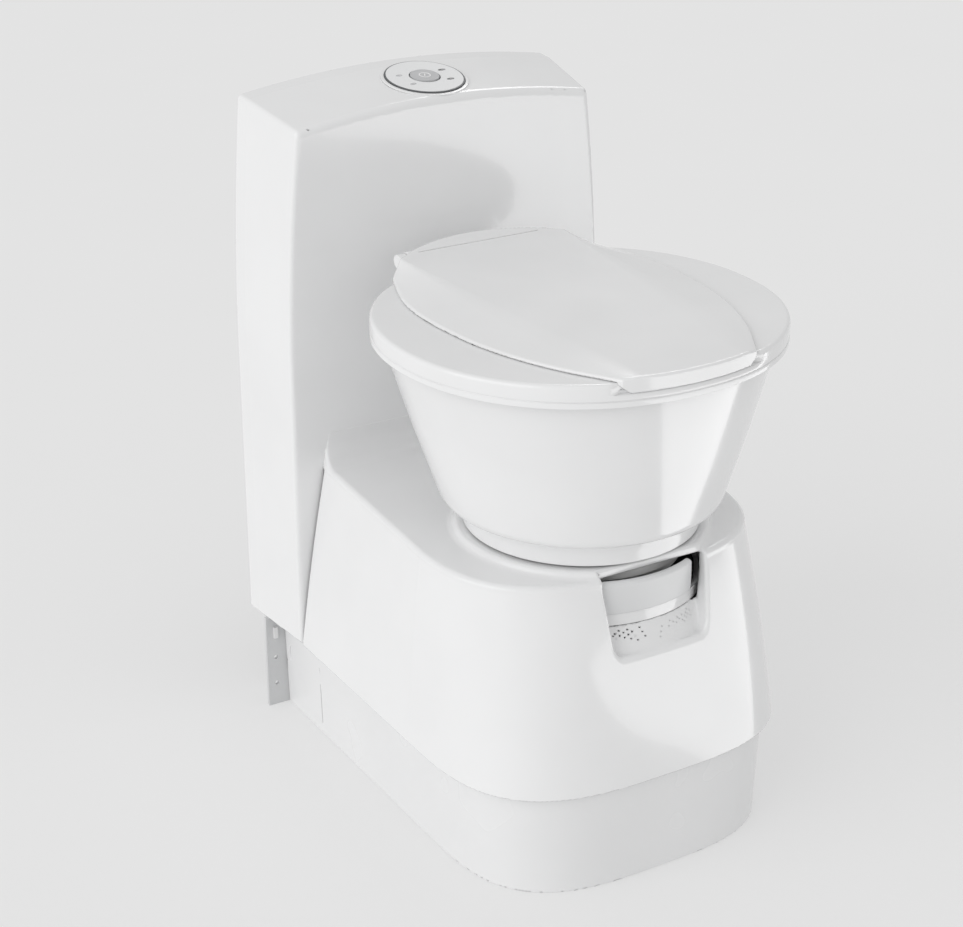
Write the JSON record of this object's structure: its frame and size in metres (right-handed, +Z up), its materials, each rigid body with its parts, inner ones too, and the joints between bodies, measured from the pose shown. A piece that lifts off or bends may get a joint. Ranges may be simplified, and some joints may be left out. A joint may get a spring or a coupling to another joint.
{
  "type": "cassette toilet",
  "caption": "Compact cassette toilet with a swivelling bowl, hinged seat and lid, a tall flush console and a wheeled waste tank that slides out at the back.",
  "frame": {"origin": "middle of the footprint on the floor", "axes": "+Z up, -Y towards the user at the front, +Y towards the wall, +X to the right seen from behind"},
  "size_m": [0.4146, 0.574, 0.7373],
  "materials": {
    "white_shell": "gloss moulded",
    "base_grey": "gloss moulded",
    "frame_grey": "fine texture",
    "tab_white": "gloss",
    "liner_white": "high gloss",
    "control_grey": "fine texture",
    "pad_grey": "satin",
    "button_grey": "satin",
    "indicator": "clear lens",
    "handle_grey": "fine texture",
    "board_green": "circuit board",
    "inner_plastic": "moulded",
    "dark_plastic": "moulded",
    "hose_clear": "soft hose",
    "lead_black": "insulated lead",
    "screw_steel": "zinc plated",
    "seal_rubber": "soft rubber",
    "tank_black": "moulded",
    "blade_blue": "smooth",
    "wheel_grey": "moulded",
    "grip_grey": "moulded",
    "spout_grey": "moulded",
    "cap_grey": "moulded",
    "vent_green": "moulded",
    "float_red": "moulded"
  },
  "bodies": {
    "toilet": {"base_tray": "base_grey", "rear_frame": "frame_grey", "flange_tabs": "tab_white", "bench_cover": "white_shell", "rear_housing": "white_shell", "housing_back": "base_grey", "housing_screws": "screw_steel", "control_bezel": "control_grey", "control_pad": "pad_grey", "indicator_lights": "indicator", "control_board": "board_green", "flush_tank": "inner_plastic", "filler_cap": "dark_plastic", "flush_pump": "dark_plastic", "console_hoses": "hose_clear", "water_inlet": "dark_plastic", "cable_gland": "dark_plastic", "fuse_holder": "dark_plastic", "pump_lead": "lead_black", "bearing_ring": "inner_plastic", "support_deck": "inner_plastic", "throat_tube": "inner_plastic", "water_union_base": "inner_plastic", "tank_rails": "dark_plastic", "tank_guides": "inner_plastic"},
    "button": {"flush_button": "button_grey"},
    "lever": {"lever_ring": "dark_plastic", "blade_handle": "handle_grey"},
    "bowl": {"bowl_shell": "white_shell", "bowl_foot": "white_shell", "bowl_hub": "inner_plastic", "bowl_liner": "liner_white", "bowl_sump": "liner_white", "bowl_rim": "liner_white", "outlet_seal": "seal_rubber", "water_union_ring": "inner_plastic", "bowl_hose": "hose_clear", "flush_nozzle": "inner_plastic", "hinge_block": "white_shell", "hinge_pins": "screw_steel"},
    "seat": {"seat_ring": "white_shell", "seat_buffers": "seal_rubber"},
    "lid": {"lid_shell": "white_shell", "lid_buffers": "seal_rubber"},
    "tank": {"tank_shell": "tank_black", "blade_housing": "tank_black", "lip_seal": "seal_rubber", "tank_axle": "screw_steel", "axle_clips": "screw_steel", "grip_bushes": "tank_black", "shelf_collars": "tank_black", "float_bracket": "dark_plastic"},
    "blade": {"blade_plate": "blade_blue"},
    "grip": {"tank_grip": "grip_grey"},
    "spout": {"pour_spout": "spout_grey"},
    "cap": {"spout_cap": "cap_grey"},
    "vent": {"vent_button": "vent_green"},
    "float": {"tank_float": "float_red"},
    "wheel_left": {"wheel_left": "wheel_grey"},
    "wheel_right": {"wheel_right": "wheel_grey"}
  },
  "joints": [
    {"name": "bowl_swivel", "type": "hinge", "parent": "toilet", "child": "bowl", "pos_m": [0, -0.0974, 0.34], "axis": [0, 0, 1], "range_deg": [-90, 90]},
    {"name": "seat_hinge", "type": "hinge", "parent": "bowl", "child": "seat", "pos_m": [0, 0.119, 0.566], "axis": [-1, 0, 0], "range_deg": [0, 90]},
    {"name": "lid_hinge", "type": "hinge", "parent": "seat", "child": "lid", "pos_m": [0, 0.119, 0.566], "axis": [-1, 0, 0], "range_deg": [0, 95]},
    {"name": "lever_turn", "type": "hinge", "parent": "toilet", "child": "lever", "pos_m": [0, -0.0974, 0.2835], "axis": [0, 0, -1], "range_deg": [0, 40]},
    {"name": "blade_slide", "type": "slide", "parent": "tank", "child": "blade", "axis": [-1, 0, 0], "range_m": [0, 0.0753]},
    {"name": "button_press", "type": "slide", "parent": "toilet", "child": "button", "axis": [0, 0.163, -0.9866], "range_m": [0, 0.0015], "stiffness_N_per_m": 400},
    {"name": "tank_slide", "type": "slide", "parent": "toilet", "child": "tank", "axis": [0, 1, 0], "range_m": [0, 0.45]},
    {"name": "spout_swing", "type": "hinge", "parent": "tank", "child": "spout", "pos_m": [0.095, 0.19, 0.15], "axis": [0, 0, -1], "range_deg": [0, 90]},
    {"name": "cap_turn", "type": "hinge", "parent": "spout", "child": "cap", "pos_m": [-0.023, 0.19, 0.176], "axis": [-1, 0, 0], "range_deg": [0, 90]},
    {"name": "vent_press", "type": "slide", "parent": "tank", "child": "vent", "axis": [0, 0, -1], "range_m": [0, 0.004], "stiffness_N_per_m": 300},
    {"name": "grip_pull", "type": "slide", "parent": "tank", "child": "grip", "axis": [0, 1, 0], "range_m": [0, 0.15]},
    {"name": "float_swing", "type": "hinge", "parent": "tank", "child": "float", "pos_m": [-0.06, 0.06, 0.1958], "axis": [-1, 0, 0], "range_deg": [0, 60]},
    {"name": "wheel_left_spin", "type": "hinge", "parent": "tank", "child": "wheel_left", "pos_m": [-0.1385, -0.16, 0.0263], "axis": [-1, 0, 0], "continuous": true},
    {"name": "wheel_right_spin", "type": "hinge", "parent": "tank", "child": "wheel_right", "pos_m": [0.1385, -0.16, 0.0263], "axis": [-1, 0, 0], "continuous": true}
  ],
  "couplings": [
    {"joint": "blade_slide", "follows": "lever_turn", "m_per_rad": 0.10778}
  ]
}
